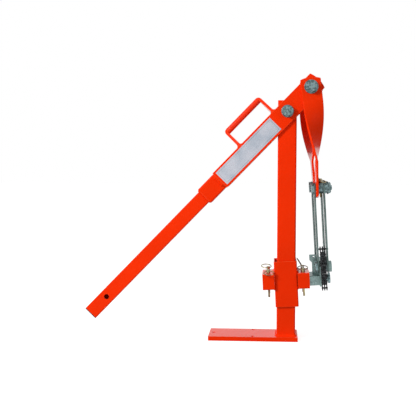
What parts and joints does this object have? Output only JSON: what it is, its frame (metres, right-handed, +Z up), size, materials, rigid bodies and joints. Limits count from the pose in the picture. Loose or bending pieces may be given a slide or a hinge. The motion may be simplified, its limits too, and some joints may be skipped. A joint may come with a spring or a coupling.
{
  "type": "lever post puller",
  "caption": "Lever jack that pulls posts: square post on a base plate, fork lever, twisted arms, straps and a chained jaw on a sliding collar.",
  "frame": {"origin": "underside of the base plate, under the axis of the post", "axes": "+X from the handle towards the jaw, +Z up the post, +Y away from the picture's camera"},
  "size_m": [0.8603, 0.1661, 0.922],
  "materials": {
    "paint": "orange-red powder coat",
    "zinc": "bright zinc plate",
    "galvanised": "hot-dip galvanised",
    "chain_steel": "dark oiled steel",
    "yellow_zinc": "yellow zinc plate",
    "black_plastic": "moulded black",
    "label": "bare pale film"
  },
  "bodies": {
    "base_post": {"base_plate": "paint", "post_tube": "paint", "post_foot_weld": "paint", "pivot_bush": "zinc", "pivot_bolt": "zinc", "pivot_nut": "zinc", "pivot_washers": "zinc"},
    "lever": {"lever_plate_near": "paint", "lever_plate_far": "paint", "lever_sleeve": "paint", "lever_welds": "paint", "handle_tube": "paint", "handle_end_cap": "black_plastic", "carry_grip": "paint", "carry_legs": "paint", "carry_welds": "paint", "label_plate": "label", "top_bolt": "zinc", "top_nut": "zinc", "top_washers": "zinc", "top_spacer": "zinc"},
    "hanger": {"arm_near": "paint", "arm_far": "paint", "coupler_pins": "zinc", "lock_collars": "galvanised", "coupler_nuts": "zinc", "coupler_roll_pins": "chain_steel", "coupler_ring_pins": "yellow_zinc", "coupler_rings": "yellow_zinc", "straps_near": "galvanised", "straps_far": "galvanised", "jaw_pins": "zinc", "jaw_end_discs": "galvanised", "jaw_spacers": "galvanised", "jaw_yoke": "galvanised", "jaw_tongue": "galvanised", "jaw_lug": "galvanised", "draw_bolt": "zinc", "chain_anchor_pin": "chain_steel"},
    "chain_top": {"chain_top_wide_plates": "chain_steel", "chain_top_pin": "chain_steel", "chain_top_narrow_plates": "chain_steel"},
    "chain": {"chain_wide_plates": "chain_steel", "chain_pins": "chain_steel", "chain_narrow_plates": "chain_steel"},
    "collar": {"collar_tube": "paint", "socket_left": "paint", "socket_right": "paint", "socket_welds": "paint"},
    "pin_left_near": {"ring_pin_left_near": "yellow_zinc"},
    "ring_left_near_body": {"ring_left_near": "yellow_zinc"},
    "pin_left_far": {"ring_pin_left_far": "yellow_zinc"},
    "ring_left_far_body": {"ring_left_far": "yellow_zinc"},
    "pin_right_near": {"ring_pin_right_near": "yellow_zinc"},
    "ring_right_near_body": {"ring_right_near": "yellow_zinc"},
    "pin_right_far": {"ring_pin_right_far": "yellow_zinc"},
    "ring_right_far_body": {"ring_right_far": "yellow_zinc"}
  },
  "joints": [
    {"name": "lever_pivot", "type": "hinge", "parent": "base_post", "child": "lever", "pos_m": [0, 0, 0.793], "axis": [0, 1, 0], "range_deg": [-5, 41]},
    {"name": "hanger_pivot", "type": "hinge", "parent": "lever", "child": "hanger", "pos_m": [0.07989, 0, 0.87572], "axis": [0, 1, 0], "range_deg": [-37.7, 4.7]},
    {"name": "collar_slide", "type": "slide", "parent": "base_post", "child": "collar", "axis": [0, 0, 1], "range_m": [-0.0684, 0.0084]},
    {"name": "chain_swing", "type": "hinge", "parent": "hanger", "child": "chain_top", "pos_m": [0.12153, -0.0587, 0.32322], "axis": [-0.9982, 0, -0.0593], "range_deg": [0, 40]},
    {"name": "chain_bend", "type": "hinge", "parent": "chain_top", "child": "chain", "pos_m": [0.12356, -0.0752, 0.28894], "axis": [-0.9982, 0, -0.0593], "range_deg": [0, 60]},
    {"name": "pull_left_near", "type": "slide", "parent": "collar", "child": "pin_left_near", "axis": [-0.0523, 0, 0.9986], "range_m": [0, 0.086]},
    {"name": "fold_left_near", "type": "hinge", "parent": "pin_left_near", "child": "ring_left_near_body", "pos_m": [-0.06288, -0.03, 0.24049], "axis": [-0.9835, -0.1736, -0.0515], "range_deg": [0, 95]},
    {"name": "pull_left_far", "type": "slide", "parent": "collar", "child": "pin_left_far", "axis": [-0.0523, 0, 0.9986], "range_m": [0, 0.086]},
    {"name": "fold_left_far", "type": "hinge", "parent": "pin_left_far", "child": "ring_left_far_body", "pos_m": [-0.06288, 0.03, 0.24049], "axis": [0.9123, 0.4067, 0.0478], "range_deg": [0, 95]},
    {"name": "pull_right_near", "type": "slide", "parent": "collar", "child": "pin_right_near", "axis": [-0.0523, 0, 0.9986], "range_m": [0, 0.086]},
    {"name": "fold_right_near", "type": "hinge", "parent": "pin_right_near", "child": "ring_right_near_body", "pos_m": [0.05796, -0.03, 0.24682], "axis": [0.9986, 0, 0.0523], "range_deg": [0, 95]},
    {"name": "pull_right_far", "type": "slide", "parent": "collar", "child": "pin_right_far", "axis": [-0.0523, 0, 0.9986], "range_m": [0, 0.086]},
    {"name": "fold_right_far", "type": "hinge", "parent": "pin_right_far", "child": "ring_right_far_body", "pos_m": [0.05796, 0.03, 0.24682], "axis": [0, 1, 0], "range_deg": [0, 95]}
  ],
  "couplings": [
    {"joint": "hanger_pivot", "follows": "lever_pivot", "ratio": -0.918},
    {"joint": "collar_slide", "follows": "lever_pivot", "m_per_rad": -0.0955}
  ]
}
